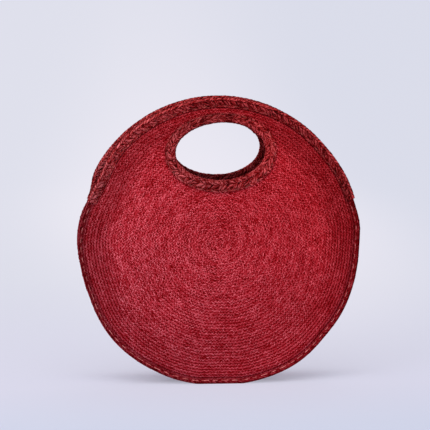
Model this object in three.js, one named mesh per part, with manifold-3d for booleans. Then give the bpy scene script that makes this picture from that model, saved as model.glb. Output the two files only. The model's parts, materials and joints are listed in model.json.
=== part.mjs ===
// Round straw bag: two shallow domed discs of sewn plait, a narrow gusset round their lower
// edges, and a folded plait trim on the mouth and on each hand hole.
// Millimetres, +Z up, +X to the right, and the front faces -Y. The origin is on the floor
// under the middle of the bag.

import * as THREE from "three";
import * as BufferGeometryUtils from "three/addons/utils/BufferGeometryUtils.js";
import Module from "manifold-3d";

const wasm = await Module();
wasm.setup();

// Outline of the two discs, seen from the front
const HALF_WIDTH = 181.5;
const UPPER_HEIGHT = 185;
const LOWER_DROP = 188;
const UPPER_POWER = 2;
const LOWER_POWER = 2.1;
const FOOT_CUT = 2;

// Depth from front to back
const RIM_DEPTH = 40;
const DOME_RISE = 13;
const DOME_POWER = 4.5;
const DISC_THICKNESS = 3;
const GUSSET_THICKNESS = 2.5;
const FLANGE_WIDTH = 8;

// Hand hole, measured inside its trim
const HOLE_HALF_WIDTH = 57.4;
const HOLE_HALF_HEIGHT = 36.3;
const HOLE_TILT = THREE.MathUtils.degToRad(2.3);
const HOLE_EGG = 0.035;
const GRIP_WIDTH = 30.5;

// Mouth: the gusset ends at this distance under the hand hole, and the lips fold there
const FOLD_BELOW_HOLE = 27.9;
const FOLD_BEVEL = THREE.MathUtils.degToRad(6.5);

// Plait trims
const TRIM_THICKNESS = 2.5;
const TRIM_ROUNDING = 1;
const MOUTH_TRIM_WIDTH = 13;
const HOLE_TRIM_TOP_WIDTH = 13;
const HOLE_TRIM_LOWER_WIDTH = 16;
const END_TRIM_HEIGHT = 13;

// Sewing thread
const THREAD_WIDTH = 1.4;
const THREAD_HEIGHT = 0.9;
const SEAM_THREAD_INSET = 5.5;
const TRIM_THREAD_INSET = 2.5;
const THREAD_END_SPACE = 10;

// Clearance between pieces that touch
const SEAT_GAP = 0.3;

// Steps of the faceted surfaces
const RIM_STEPS = 60;
const DOME_RINGS = 8;
const HOLE_STEPS = 40;

// Places worked out from the sizes above
const CENTRE_HEIGHT = LOWER_DROP - FOOT_CUT;
const HALF_DEPTH = RIM_DEPTH / 2;
const HOLE_CENTRE_HEIGHT = CENTRE_HEIGHT + UPPER_HEIGHT - GRIP_WIDTH - HOLE_HALF_HEIGHT;
const FOLD_HEIGHT = HOLE_CENTRE_HEIGHT - HOLE_HALF_HEIGHT - FOLD_BELOW_HOLE;
const FOLD_RISE = FOLD_HEIGHT - CENTRE_HEIGHT;
const FOLD_HALF_WIDTH = HALF_WIDTH * (1 - (FOLD_RISE / UPPER_HEIGHT) ** UPPER_POWER) ** (1 / UPPER_POWER);
const FOLD_ANGLE = Math.atan2(FOLD_RISE, FOLD_HALF_WIDTH);
const TRIM_LIFT = SEAT_GAP + TRIM_THICKNESS;
const GUSSET_HALF_DEPTH = HALF_DEPTH - DISC_THICKNESS - SEAT_GAP;
const WEB_HALF_DEPTH = GUSSET_HALF_DEPTH - GUSSET_THICKNESS;
const WEB_INNER_INSET = FLANGE_WIDTH + GUSSET_THICKNESS;
const END_TRIM_TOP = FOLD_HEIGHT - 2 * SEAT_GAP;
const GUSSET_TOP = END_TRIM_TOP - TRIM_LIFT;
const WORK_SPACE = 4 * (HALF_WIDTH + UPPER_HEIGHT + LOWER_DROP);

const FRONT = -1;
const BACK = 1;
const FULL_TURN = 2 * Math.PI;

function strawMaterial(color) {
  return new THREE.MeshStandardMaterial({ color, roughness: 0.8, metalness: 0 });
}

function threadMaterial() {
  return new THREE.MeshStandardMaterial({ color: 0xb8603f, roughness: 0.7, metalness: 0 });
}

const DISC_COLOR = 0x9b2a35;
const GUSSET_COLOR = 0x86222a;
const TRIM_COLOR = 0x78282b;

// Solids from loops of points, and cuts between them

function facesBetween(loops, first, second) {
  const count = loops[0].length;
  const faces = [];
  for (let step = 0; step < count; step += 1) {
    const next = (step + 1) % count;
    const a = first * count + step;
    const b = first * count + next;
    const c = second * count + next;
    const d = second * count + step;
    faces.push(a, b, c, a, c, d);
  }
  return faces;
}

function facesToPole(loops, loop, pole, flip) {
  const count = loops[0].length;
  const faces = [];
  for (let step = 0; step < count; step += 1) {
    const a = loop * count + step;
    const b = loop * count + ((step + 1) % count);
    faces.push(...(flip ? [b, a, pole] : [a, b, pole]));
  }
  return faces;
}

function geometryFrom(points, faces) {
  const geometry = new THREE.BufferGeometry().setFromPoints(points);
  geometry.setIndex(faces);
  return geometry;
}

function facesOut(geometry) {
  const positions = geometry.attributes.position;
  const index = geometry.index;
  const corners = [new THREE.Vector3(), new THREE.Vector3(), new THREE.Vector3()];
  let volume = 0;
  for (let start = 0; start < index.count; start += 3) {
    corners.forEach((corner, side) => corner.fromBufferAttribute(positions, index.getX(start + side)));
    volume += corners[0].dot(corners[1].clone().cross(corners[2]));
  }
  if (volume < 0) {
    for (let start = 0; start < index.count; start += 3) {
      const swapped = index.getX(start);
      index.setX(start, index.getX(start + 1));
      index.setX(start + 1, swapped);
    }
  }
  return geometry;
}

function solidFrom(geometry) {
  const bare = geometry.clone();
  bare.deleteAttribute("normal");
  bare.deleteAttribute("uv");
  const merged = facesOut(BufferGeometryUtils.mergeVertices(bare));
  return new wasm.Manifold(new wasm.Mesh({
    numProp: 3,
    vertProperties: new Float32Array(merged.attributes.position.array),
    triVerts: new Uint32Array(merged.index.array),
  }));
}

// A closed ring whose loops are sections that follow each other round it
function ringSolid(sections) {
  const faces = sections.flatMap((_, place) => facesBetween(sections, place, (place + 1) % sections.length));
  return solidFrom(geometryFrom(sections.flat(), faces));
}

// A closed plate whose loops run from the point at its outer middle to the one at its inner middle
function plateSolid(loops, outerMiddle, innerMiddle) {
  const points = loops.flat();
  const last = loops.length - 1;
  const faces = [];
  for (let place = 0; place < last; place += 1) {
    faces.push(...facesBetween(loops, place, place + 1));
  }
  faces.push(...facesToPole(loops, 0, points.length, true));
  faces.push(...facesToPole(loops, last, points.length + 1, false));
  return solidFrom(geometryFrom([...points, outerMiddle, innerMiddle], faces));
}

// Everything above a plane along X through (y, z), or in front of it when it is turned
function spaceAbove(y, z, turn = 0) {
  const geometry = new THREE.BoxGeometry(WORK_SPACE, WORK_SPACE, WORK_SPACE);
  geometry.translate(0, 0, WORK_SPACE / 2);
  geometry.rotateX(turn);
  geometry.translate(0, y, z);
  return solidFrom(geometry);
}

function sideSpace(hand) {
  const geometry = new THREE.BoxGeometry(WORK_SPACE, WORK_SPACE, WORK_SPACE);
  geometry.translate((hand * WORK_SPACE) / 2, 0, 0);
  return solidFrom(geometry);
}

function meshFrom(name, solid, material) {
  const { vertProperties, triVerts } = solid.getMesh();
  const geometry = new THREE.BufferGeometry();
  geometry.setAttribute("position", new THREE.BufferAttribute(vertProperties, 3));
  geometry.setIndex(new THREE.BufferAttribute(triVerts, 1));
  geometry.computeVertexNormals();
  const mesh = new THREE.Mesh(geometry, material);
  mesh.name = name;
  return mesh;
}

// The discs' outline and surface

function rimRadius(angle) {
  const height = Math.sin(angle) < 0 ? LOWER_DROP : UPPER_HEIGHT;
  const power = Math.sin(angle) < 0 ? LOWER_POWER : UPPER_POWER;
  const across = Math.abs(Math.cos(angle) / HALF_WIDTH) ** power;
  const up = Math.abs(Math.sin(angle) / height) ** power;
  return (across + up) ** (-1 / power);
}

function ringRise(ring) {
  return DOME_RISE * (1 - (ring / DOME_RINGS) ** DOME_POWER);
}

// How far the dome stands out at a share of the way from its middle to the flange. It is
// straight between the disc's rings, so that what lies on the disc follows its facets.
function domeRise(share) {
  if (share >= 1) {
    return 0;
  }
  const place = share * DOME_RINGS;
  const ring = Math.floor(place);
  return THREE.MathUtils.lerp(ringRise(ring), ringRise(ring + 1), place - ring);
}

// The point of a disc's outer face at an angle and radius round its middle, lifted off it
function discPoint(side, angle, radius, lift) {
  const share = radius / (rimRadius(angle) - FLANGE_WIDTH);
  const x = radius * Math.cos(angle);
  const z = CENTRE_HEIGHT + radius * Math.sin(angle);
  return new THREE.Vector3(x, side * (HALF_DEPTH + domeRise(share) + lift), z);
}

function rimPoint(side, angle, inset, lift) {
  return discPoint(side, angle, rimRadius(angle) - inset, lift);
}

function rimAngles() {
  return Array.from({ length: RIM_STEPS }, (_, step) => (step * FULL_TURN) / RIM_STEPS);
}

// A band round the rim of one disc, from a section of [inset, lift] corners
function rimBand(side, section) {
  return ringSolid(rimAngles().map((angle) => (
    section.map(([inset, lift]) => rimPoint(side, angle, inset, lift)))));
}

// A band round the rim between the discs, from a section of [inset, y] corners
function gussetBand(section) {
  return ringSolid(rimAngles().map((angle) => section.map(([inset, y]) => {
    const point = discPoint(BACK, angle, rimRadius(angle) - inset, 0);
    return point.setY(y);
  })));
}

// The hand hole's egg-shaped edge, and points off it on a disc's outer face

function holePoint(side, angle, outset, lift) {
  const edge = new THREE.Vector2(
    HOLE_HALF_WIDTH * Math.cos(angle),
    HOLE_HALF_HEIGHT * Math.sin(angle) * (1 + HOLE_EGG * Math.cos(angle)),
  );
  const outward = new THREE.Vector2(
    HOLE_HALF_HEIGHT * (Math.cos(angle) + HOLE_EGG * Math.cos(2 * angle)),
    HOLE_HALF_WIDTH * Math.sin(angle),
  ).normalize();
  edge.addScaledVector(outward, outset).rotateAround(new THREE.Vector2(), HOLE_TILT);
  const rise = HOLE_CENTRE_HEIGHT + edge.y - CENTRE_HEIGHT;
  return discPoint(side, Math.atan2(rise, edge.x), Math.hypot(edge.x, rise), lift);
}

function holeTrimWidth(angle) {
  return THREE.MathUtils.lerp(HOLE_TRIM_LOWER_WIDTH, HOLE_TRIM_TOP_WIDTH, (1 + Math.sin(angle)) / 2);
}

function holeAngles() {
  return Array.from({ length: HOLE_STEPS }, (_, step) => (step * FULL_TURN) / HOLE_STEPS);
}

// The prism that opens the hand hole in a disc, wider than the clear hole by its trim
function holeCut() {
  const depth = HALF_DEPTH + DOME_RISE + DISC_THICKNESS;
  const loops = [-depth, depth].map((y) => (
    holeAngles().map((angle) => holePoint(BACK, angle, TRIM_LIFT, 0).setY(y))));
  const middle = new THREE.Vector3(0, 0, HOLE_CENTRE_HEIGHT);
  return plateSolid(loops, middle.clone().setY(-depth), middle.clone().setY(depth));
}

// The two discs, split at the fold into a lower panel and a lip that opens

function foldY(side) {
  return side * (HALF_DEPTH + domeRise(FOLD_RISE / (UPPER_HEIGHT - FLANGE_WIDTH)));
}

function aboveFold(side) {
  return spaceAbove(foldY(side), FOLD_HEIGHT, -side * FOLD_BEVEL);
}

function discSolid(side) {
  const domeShares = Array.from({ length: DOME_RINGS }, (_, ring) => (ring + 1) / DOME_RINGS);
  const faceLoops = (lift) => [
    ...domeShares.map((share) => (
      rimAngles().map((angle) => discPoint(side, angle, share * (rimRadius(angle) - FLANGE_WIDTH), lift)))),
    rimAngles().map((angle) => rimPoint(side, angle, 0, lift)),
  ];
  const middle = (lift) => discPoint(side, 0, 0, lift);
  const loops = [...faceLoops(0), ...faceLoops(-DISC_THICKNESS).reverse()];
  const whole = plateSolid(loops, middle(0), middle(-DISC_THICKNESS));
  return whole.subtract(holeCut()).intersect(spaceAbove(0, 0));
}

function panel(name, side) {
  const solid = discSolid(side).subtract(spaceAbove(0, FOLD_HEIGHT - SEAT_GAP));
  return meshFrom(name, solid, strawMaterial(DISC_COLOR));
}

function lip(name, side) {
  return meshFrom(name, discSolid(side).intersect(aboveFold(side)), strawMaterial(DISC_COLOR));
}

// The gusset: a web between the discs with its edges turned out along their flanges

function gusset() {
  const solid = gussetBand([
    [0, -GUSSET_HALF_DEPTH],
    [0, -WEB_HALF_DEPTH],
    [FLANGE_WIDTH, -WEB_HALF_DEPTH],
    [FLANGE_WIDTH, WEB_HALF_DEPTH],
    [0, WEB_HALF_DEPTH],
    [0, GUSSET_HALF_DEPTH],
    [WEB_INNER_INSET, GUSSET_HALF_DEPTH],
    [WEB_INNER_INSET, -GUSSET_HALF_DEPTH],
  ]);
  const cut = solid.intersect(spaceAbove(0, 0)).subtract(spaceAbove(0, GUSSET_TOP));
  return meshFrom("gusset", cut, strawMaterial(GUSSET_COLOR));
}

// A short strip of trim folded over the gusset's top edge at one end of the mouth
function gussetEndTrim(name, hand) {
  const halfDepth = WEB_HALF_DEPTH - SEAT_GAP;
  const block = (outer, inner) => gussetBand([
    [outer, -halfDepth],
    [outer, halfDepth],
    [inner, halfDepth],
    [inner, -halfDepth],
  ]);
  const outside = block(FLANGE_WIDTH - TRIM_LIFT, WEB_INNER_INSET + TRIM_LIFT);
  const slot = block(FLANGE_WIDTH - SEAT_GAP, WEB_INNER_INSET + SEAT_GAP);
  const strip = outside
    .subtract(spaceAbove(0, END_TRIM_TOP))
    .intersect(spaceAbove(0, END_TRIM_TOP - END_TRIM_HEIGHT))
    .intersect(sideSpace(hand))
    .subtract(slot.subtract(spaceAbove(0, GUSSET_TOP + SEAT_GAP)));
  return meshFrom(name, strip, strawMaterial(TRIM_COLOR));
}

// Folded trims, U-shaped in section: a broad plait bent over an edge and sewn down on both faces

// The section of a trim of this full width, which bends again at a place on the disc
function foldedSection(width, bend) {
  const reach = width - TRIM_LIFT;
  const inner = -DISC_THICKNESS - SEAT_GAP;
  const innerLow = inner - TRIM_THICKNESS;
  return [
    [reach, SEAT_GAP],
    [bend, SEAT_GAP],
    [-SEAT_GAP, SEAT_GAP],
    [-SEAT_GAP, inner],
    [bend, inner],
    [reach, inner],
    [reach, innerLow],
    [bend, innerLow],
    [TRIM_ROUNDING - TRIM_LIFT, innerLow],
    [-TRIM_LIFT, innerLow + TRIM_ROUNDING],
    [-TRIM_LIFT, TRIM_LIFT - TRIM_ROUNDING],
    [TRIM_ROUNDING - TRIM_LIFT, TRIM_LIFT],
    [bend, TRIM_LIFT],
    [reach, TRIM_LIFT],
  ];
}

function mouthTrim(name, side) {
  const band = rimBand(side, foldedSection(MOUTH_TRIM_WIDTH, FLANGE_WIDTH));
  return meshFrom(name, band.intersect(aboveFold(side)), strawMaterial(TRIM_COLOR));
}

function holeTrim(name, side) {
  const band = ringSolid(holeAngles().map((angle) => (
    foldedSection(holeTrimWidth(angle), holeTrimWidth(angle) / 2).map(([outset, lift]) => (
      holePoint(side, angle, TRIM_LIFT + outset, lift))))));
  return meshFrom(name, band, strawMaterial(TRIM_COLOR));
}

// Lines of sewing thread, each lying along the face that it is sewn to

function threadSection(place, face) {
  const half = THREAD_WIDTH / 2;
  const low = face + SEAT_GAP;
  const high = low + THREAD_HEIGHT;
  return [
    [place - half, low],
    [place - half, high],
    [place + half, high],
    [place + half, low],
  ];
}

function seamThread(name, side) {
  const band = rimBand(side, threadSection(SEAM_THREAD_INSET, 0));
  return meshFrom(name, band.subtract(spaceAbove(0, FOLD_HEIGHT - THREAD_END_SPACE)), threadMaterial());
}

function mouthTrimThread(name, side) {
  const band = rimBand(side, threadSection(MOUTH_TRIM_WIDTH - TRIM_LIFT - TRIM_THREAD_INSET, TRIM_LIFT));
  return meshFrom(name, band.intersect(spaceAbove(0, FOLD_HEIGHT + THREAD_END_SPACE)), threadMaterial());
}

function holeTrimThread(name, side) {
  const band = ringSolid(holeAngles().map((angle) => (
    threadSection(holeTrimWidth(angle) - TRIM_THREAD_INSET, TRIM_LIFT).map(([outset, lift]) => (
      holePoint(side, angle, outset, lift))))));
  return meshFrom(name, band, threadMaterial());
}

// The whole bag

const bag = new THREE.Group();
bag.name = "round_straw_bag";
bag.add(gusset());
bag.add(gussetEndTrim("left_gusset_end_trim", -1));
bag.add(gussetEndTrim("right_gusset_end_trim", 1));

for (const [word, side] of [["front", FRONT], ["back", BACK]]) {
  bag.add(panel(`${word}_panel`, side));
  bag.add(lip(`${word}_lip`, side));
  bag.add(mouthTrim(`${word}_mouth_trim`, side));
  bag.add(holeTrim(`${word}_hole_trim`, side));
  bag.add(seamThread(`${word}_seam_thread`, side));
  bag.add(mouthTrimThread(`${word}_mouth_trim_thread`, side));
  bag.add(holeTrimThread(`${word}_hole_trim_thread`, side));
}

export default bag;
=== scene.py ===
import json
import math

import bpy
import numpy as np
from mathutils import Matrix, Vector


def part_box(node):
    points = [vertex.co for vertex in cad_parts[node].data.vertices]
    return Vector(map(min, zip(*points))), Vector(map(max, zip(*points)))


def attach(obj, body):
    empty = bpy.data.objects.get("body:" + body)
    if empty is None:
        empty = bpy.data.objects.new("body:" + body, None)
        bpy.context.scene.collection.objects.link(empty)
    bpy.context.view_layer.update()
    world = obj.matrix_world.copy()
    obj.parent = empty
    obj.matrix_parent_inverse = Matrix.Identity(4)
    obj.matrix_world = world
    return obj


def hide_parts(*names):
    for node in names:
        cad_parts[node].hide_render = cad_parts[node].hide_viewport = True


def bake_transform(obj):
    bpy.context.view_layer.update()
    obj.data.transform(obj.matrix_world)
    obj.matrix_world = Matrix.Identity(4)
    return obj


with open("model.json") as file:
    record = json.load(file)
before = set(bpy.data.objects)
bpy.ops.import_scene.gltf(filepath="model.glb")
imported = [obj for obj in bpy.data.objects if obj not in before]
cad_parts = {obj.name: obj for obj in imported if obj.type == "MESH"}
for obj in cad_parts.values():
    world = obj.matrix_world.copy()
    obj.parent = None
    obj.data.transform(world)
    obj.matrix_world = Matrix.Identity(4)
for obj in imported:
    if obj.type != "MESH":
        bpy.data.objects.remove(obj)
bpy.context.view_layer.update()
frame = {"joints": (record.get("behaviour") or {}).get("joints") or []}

# A round straw bag in metres: +Z up, +X to the right, and the front faces -Y.
# Each disc is one spiral of narrow plait, its rows sewn edge over edge.

FRONT = -1
BACK = 1
WORDS = {FRONT: "front", BACK: "back"}
FULL_TURN = 2 * math.pi

# The discs' thickness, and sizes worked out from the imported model
THICKNESS = 0.003
panel_low, panel_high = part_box("front_panel")
_, lip_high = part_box("front_lip")
end_trim_low, end_trim_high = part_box("right_gusset_end_trim")
HALF_WIDTH = panel_high.x
HALF_DEPTH = THICKNESS - panel_high.y
DOME_RISE = -panel_low.y - HALF_DEPTH
FOLD_HEIGHT = frame["joints"][0]["pos_m"][2]

# The discs' outline and dome
CENTRE_HEIGHT = 0.186
UPPER_HEIGHT = lip_high.z - CENTRE_HEIGHT
LOWER_DROP = 0.188
UPPER_POWER = 2.0
LOWER_POWER = 2.1
FLANGE_WIDTH = 0.008
DOME_POWER = 4.5
SEAM_PUFF = 0.0034
PUFF_START = 0.0035
PUFF_REACH = 0.03

# Gentle hollows and swells of the straw, which fade out towards the rim
WAVES = 9
WAVE_HEIGHT = 0.0003
WAVE_LENGTHS = (0.05, 0.16)
WAVE_FADE_POWER = 4
WAVE_SEED = 23

# Where the hand-sewn outline swells or is pressed in: degrees round it, their spread, and metres
SWELLS = (
    (7, 6, 0.0018),
    (42, 10, -0.0011),
    (180, 9, 0.0026),
    (203, 6, -0.0010),
    (222, 8, 0.0008),
    (243, 6, -0.0006),
    (300, 8, 0.0006),
    (318, 8, -0.0015),
)
MOUTH_END_SWELLS = {
    FRONT: ((153, 13, -0.0065), (118, 20, -0.0012)),
    BACK: ((160, 6.5, -0.0056),),
}

# The sewn rows
ROWS = 49
ROW_SAMPLES = 3
ROW_STEPS = 320
ROW_PITCH = HALF_WIDTH / ROWS
ROW_RELIEF = 0.0005
ROW_PROFILE = (0.0, 1.0, 0.75)
PLAIT_COLUMNS = 2
PLAIT_PITCH = 0.0040
PLAIT_SLANTING = 1.2
PLAIT_SLANT = ROW_PITCH / PLAIT_COLUMNS / PLAIT_PITCH * PLAIT_SLANTING

# How much a plait's straws differ: width, rate and phase of the changes along it, and heights
STRAND_WANDER = ((0.2, 1.9, 0), (0.12, 4.3, 1))
STRAND_LOWEST = 0.6
STRAND_HEIGHTS = 997
STRAND_PICKS = (7, 3)
STRAND_SEED = 5
COLUMN_EDGE_HEIGHT = 0.15

# How clearly the lines between rows show: well near the rim, but less at its top, and low down
CLEAR_TOP_FAINTER = 0.7
CLEAR_TOP_SINE = 0.4
CLEAR_LOW = 0.65
CLEAR_LOW_REACH = (0.04, 0.12)

# Painted shade and light on a disc: darker along its rim but less at the foot, lighter at the
# lower right, and darker in a band above the foot and in the groove just inside its seam
RIM_SHADE_REACH = (0.022, 0.055)
RIM_SHADE = 0.35
FOOT_SHADE = 0.04
FOOT_POWER = 1.5
FOOT_BAND = (0.046, 0.026)
FOOT_BAND_SHADE = 0.1
GROOVE_INSET = 0.0073
GROOVE_WIDTH = 0.0024
GROOVE_SHADE = 0.42
LOW_RIGHT = math.radians(-40)
LOW_RIGHT_BRIGHTER = 0.23

# The hand holes
HOLE_HALF_WIDTH = 0.0574
HOLE_HALF_HEIGHT = 0.0363
HOLE_TILT = math.radians(2.3)
HOLE_EGG = 0.035
HOLE_CENTRE_HEIGHT = 0.3042
HOLE_OPENED = 0.006
BACK_HOLE_SHIFT = (-0.0010, 0.0008)
BACK_HOLE_TIGHTER = 0.0010

# The folded trims
TRIM_THICKNESS = 0.0025
TRIM_GAP = 0.0003
TRIM_STANDOFF = TRIM_GAP + TRIM_THICKNESS
TRIM_RELIEF = 0.0009
TRIM_FACE = TRIM_STANDOFF - TRIM_RELIEF / 2
TRIM_COLUMN = 0.0062
TRIM_PITCH = 0.0056
TRIM_SLANT = TRIM_COLUMN / TRIM_PITCH
TRIM_EDGE_STRIP = 0.002
TRIM_STEP = 0.0006
TRIM_HIDDEN_SKIP = 6
MOUTH_TRIM_WIDTH = 0.013
MOUTH_TRIM_START = 0.006
HOLE_TRIM_WIDTH = 0.0145
HOLE_TRIM_WIDER_BELOW = 0.0015
HOLE_TRIM_LONGER = 1.1
GUSSET_END_LEAN = 0.3

# Where a hole's trim laps over its start. The angles of its rise are counted from a full turn.
LAP_ANGLE = math.radians(38)
LAP_LENGTH = math.radians(17)
LAP_LIFT = 0.0011
LAP_RISE = (-0.12, -0.02)

# How worn and how bright the trims are. The mouth trims' folds carry wear and a painted
# highlight, with a painted dark line along their edge; their left is painted lighter, and their
# ends are darker. The hole trims are painted lighter and darker by side, and the hole trims and
# the gusset's end trims have painted shade inside.
MOUTH_WORN_AND_LIT_REACH = (-0.0006, 0.0016)
MOUTH_FACE_WEAR = 0.2
MOUTH_LEFT_BRIGHTER = 0.2
MOUTH_LEFT_REACH = (0.02, 0.11)
MOUTH_END_SHADE = 0.85
MOUTH_END_HEIGHT = 0.05
MOUTH_EDGE_DARKER = 0.9
MOUTH_EDGE_WIDTH = 0.0022
HOLE_TRIM_WEAR = 0.5
HOLE_TRIM_BRIGHTER = 0.16
HOLE_TRIM_BRIGHT_SIDE = math.radians(-36)
HOLE_TRIM_SIDES_BRIGHTER = 0.2
INSIDE_SHADE = 0.66

# The outermost row of each disc, along its edge below the mouth
RIM_ROW_WIDTH = 0.0066
RIM_ROW_LIFT = 0.0007
RIM_ROW_TURN = 0.0008
RIM_ROW_RELIEF = 0.0008
RIM_ROW_RAGGED = 2.0
RIM_ROW_LOWEST = 0.1
RIM_ROW_COLUMN = 0.0036
RIM_ROW_PITCH = 0.0026
RIM_ROW_SLANT = RIM_ROW_COLUMN / RIM_ROW_PITCH
RIM_ROW_LONGER_STEP = 1.3
RIM_ROW_UNDER_INSETS = (0.002, RIM_ROW_WIDTH - 0.001)
# Painted shade on the row's turned edge and the foot's edge, painted light at the foot and right
RIM_EDGE_DARKER = 0.5
RIM_FOOT_BRIGHTER = 0.7
RIM_FOOT_EDGE_DARKER = 0.45
RIM_FOOT_EDGE_WIDTH = 0.0026
RIM_RIGHT_BRIGHTER = 0.5

# The gusset
GUSSET_THICKNESS = 0.0025
GUSSET_HALF_DEPTH = HALF_DEPTH - THICKNESS - TRIM_GAP
GUSSET_STEPS = 220
GUSSET_EDGE_INSET = 0.0006
GUSSET_BEND = 0.0022
GUSSET_BEND_STEPS = 4
GUSSET_RELIEF_SHARE = 0.8
GUSSET_END_DROP = 0.003
# Painted shade on the gusset's turned-out flanges
GUSSET_EDGE_SHADE = 0.5

# The sewing thread. A stitch's dip, rises and slip are counted in thread radii, and end angles
# say how far short of the mouth's ends the stitches stop. Each sewing is the length of a stitch,
# the space after it and the thread's radius.
STITCH_SIDES = 8
STITCH_KNOTS = 9
STITCH_LENGTHS = (0.7, 1.15)
STITCH_DIP = 1.4
STITCH_RISES = (0.5, 2.0)
STITCH_SLIP = 0.3
STITCH_FLATNESS = 0.8
STITCH_WEAVE_LENGTH = 7.0
STITCH_WEAVE_ROUND = 4
SEAM_SEWING = (0.0082, 0.0046, 0.00042)
SEAM_INSET = 0.0047
SEAM_SHIFT = 0.0006
SEAM_END_ANGLE = 0.03
SEAM_CLEAR_PLACE = (math.radians(-75), math.radians(75))
SEAM_CLEAR_LIFT = 0.0005
# Painted light and shade on the seam thread: brightest low on the right, dim elsewhere
SEAM_DIM = 0.7
SEAM_BRIGHT = 1.4
TRIM_SEWING = (0.006, 0.008, 0.0004)
MOUTH_STITCH_END_ANGLE = 0.05
MOUTH_STITCH_INSET = 0.0016
HOLE_STITCH_INSET = 0.0018
HOLE_STITCH_LONGER = 1.25


# Small helpers

def linear(red, green, blue):
    """A colour written as 0 to 255 screen values, in the renderer's linear values."""
    values = []
    for part in (red, green, blue):
        share = part / 255
        values.append(share / 12.92 if share <= 0.04045 else ((share + 0.055) / 1.055) ** 2.4)
    return (*values, 1.0)


def bell(value, middle, spread):
    return np.exp(-((value - middle) / spread) ** 2)


def rise(value, low, high):
    """From 0 at low to 1 at high, with soft ends."""
    share = np.clip((value - low) / (high - low), 0, 1)
    return share * share * (3 - 2 * share)


def unit(vectors):
    """Rows of vectors, each made 1 long."""
    return vectors / np.linalg.norm(vectors, axis=1)[:, None]


def even_steps(path, count_for):
    """A path walked in even steps, as many as count_for(its length): the distance walked, and the
    path's first and second numbers there."""
    path = np.array(path)
    walked = np.concatenate([[0], np.cumsum(np.hypot(*np.diff(path, axis=0).T))])
    distance = np.linspace(0, walked[-1], count_for(walked[-1]))
    return distance, np.interp(distance, walked, path[:, 0]), np.interp(distance, walked, path[:, 1])


def angle_from(x, z):
    """The angle round a disc's middle, from 0 at the right to a full turn."""
    return np.mod(np.arctan2(z - CENTRE_HEIGHT, x), FULL_TURN)


def downwards(angle):
    """From 0 to 1, how far down an angle points."""
    return np.clip(-np.sin(angle), 0, 1)


def low_right(angle):
    """From 0 to 1, how far round to the lower right an angle is."""
    return np.clip(np.cos(angle - LOW_RIGHT), 0, 1) ** 3


# The discs' shape

def unevenness(angle, side):
    """How far the hand-sewn edge swells out at each angle."""
    turned = np.mod(np.degrees(angle), 360)
    total = np.zeros_like(turned)
    for middle, spread, height in SWELLS + MOUTH_END_SWELLS[side]:
        for place in (middle - 360, middle, middle + 360):
            total = total + height * bell(turned, place, spread)
    return total


def rim_radius(angle, side):
    """How far a disc's edge lies from its middle. It is cut off flat at the floor."""
    upper = np.sin(angle) >= 0
    height = np.where(upper, UPPER_HEIGHT, LOWER_DROP)
    power = np.where(upper, UPPER_POWER, LOWER_POWER)
    across = np.abs(np.cos(angle) / HALF_WIDTH) ** power
    up = np.abs(np.sin(angle) / height) ** power
    radius = (across + up) ** (-1 / power) + unevenness(angle, side)
    nearly_level = 0.1
    floor_radius = CENTRE_HEIGHT / np.maximum(-np.sin(angle), nearly_level)
    return np.where(upper, radius, np.minimum(radius, floor_radius))


def waves(x, z, side):
    """How far the straw's gentle hollows and swells lift it at each point."""
    random = np.random.default_rng(WAVE_SEED + side)
    total = np.zeros_like(x)
    for _ in range(WAVES):
        length = random.uniform(*WAVE_LENGTHS)
        heading = random.uniform(0, math.pi)
        phase = random.uniform(0, FULL_TURN)
        place = (x * math.cos(heading) + z * math.sin(heading)) / length
        total = total + np.sin(FULL_TURN * place + phase)
    return WAVE_HEIGHT * total


def disc_depth(x, z, side):
    """How far a disc's outer face stands from the bag's middle plane."""
    dome_radius = rim_radius(angle_from(x, z), side) - FLANGE_WIDTH
    radius = np.hypot(x, z - CENTRE_HEIGHT)
    share = np.clip(radius / dome_radius, 0, 1)
    inside = np.maximum(dome_radius - radius, 0)
    puff = SEAM_PUFF * (1 - np.exp(-inside / PUFF_START)) * np.exp(-inside / PUFF_REACH)
    dome = (DOME_RISE - ROW_RELIEF) * (1 - share ** DOME_POWER)
    return HALF_DEPTH + dome + puff + waves(x, z, side) * (1 - share ** WAVE_FADE_POWER)


def disc_point(x, z, side, lift):
    depth = disc_depth(x, z, side) + lift
    return np.stack([x, side * depth, np.maximum(z, 0)], axis=-1)


def rim_point(angle, inset, lift, side):
    radius = rim_radius(angle, side) - inset
    return disc_point(radius * np.cos(angle), CENTRE_HEIGHT + radius * np.sin(angle), side, lift)


def rim_nearness(x, z, side):
    """From 0 over most of a disc to 1 close to its rim, and how far in from the rim a point is."""
    inset = rim_radius(angle_from(x, z), side) - np.hypot(x, z - CENTRE_HEIGHT)
    return 1 - rise(inset, *RIM_SHADE_REACH), inset


def row_clearness(x, z, side):
    """From 0 to 1, how clearly the lines between a disc's rows show at each point."""
    near, _ = rim_nearness(x, z, side)
    angle = angle_from(x, z)
    outwards = rise(np.hypot(x, z - CENTRE_HEIGHT), *CLEAR_LOW_REACH)
    high = rise(np.sin(angle), 0, CLEAR_TOP_SINE)
    low = downwards(angle) ** 2
    return np.maximum(near * (1 - CLEAR_TOP_FAINTER * high), CLEAR_LOW * low * outwards)


def dye_shade(x, z, side):
    """How much painted shade and light change the brightness at each point of a disc."""
    near, inset = rim_nearness(x, z, side)
    angle = angle_from(x, z)
    foot = downwards(angle) ** FOOT_POWER
    shade = 1 - near * (RIM_SHADE + foot * (FOOT_SHADE - RIM_SHADE))
    shade = shade * (1 + LOW_RIGHT_BRIGHTER * near * low_right(angle))
    shade = shade * (1 - foot * FOOT_BAND_SHADE * bell(inset, *FOOT_BAND))
    groove_inset = GROOVE_INSET + SEAM_SHIFT * np.cos(angle)
    return shade * (1 - GROOVE_SHADE * bell(inset, groove_inset, GROOVE_WIDTH))


def turned(x, z, angle):
    return x * math.cos(angle) - z * math.sin(angle), x * math.sin(angle) + z * math.cos(angle)


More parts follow.
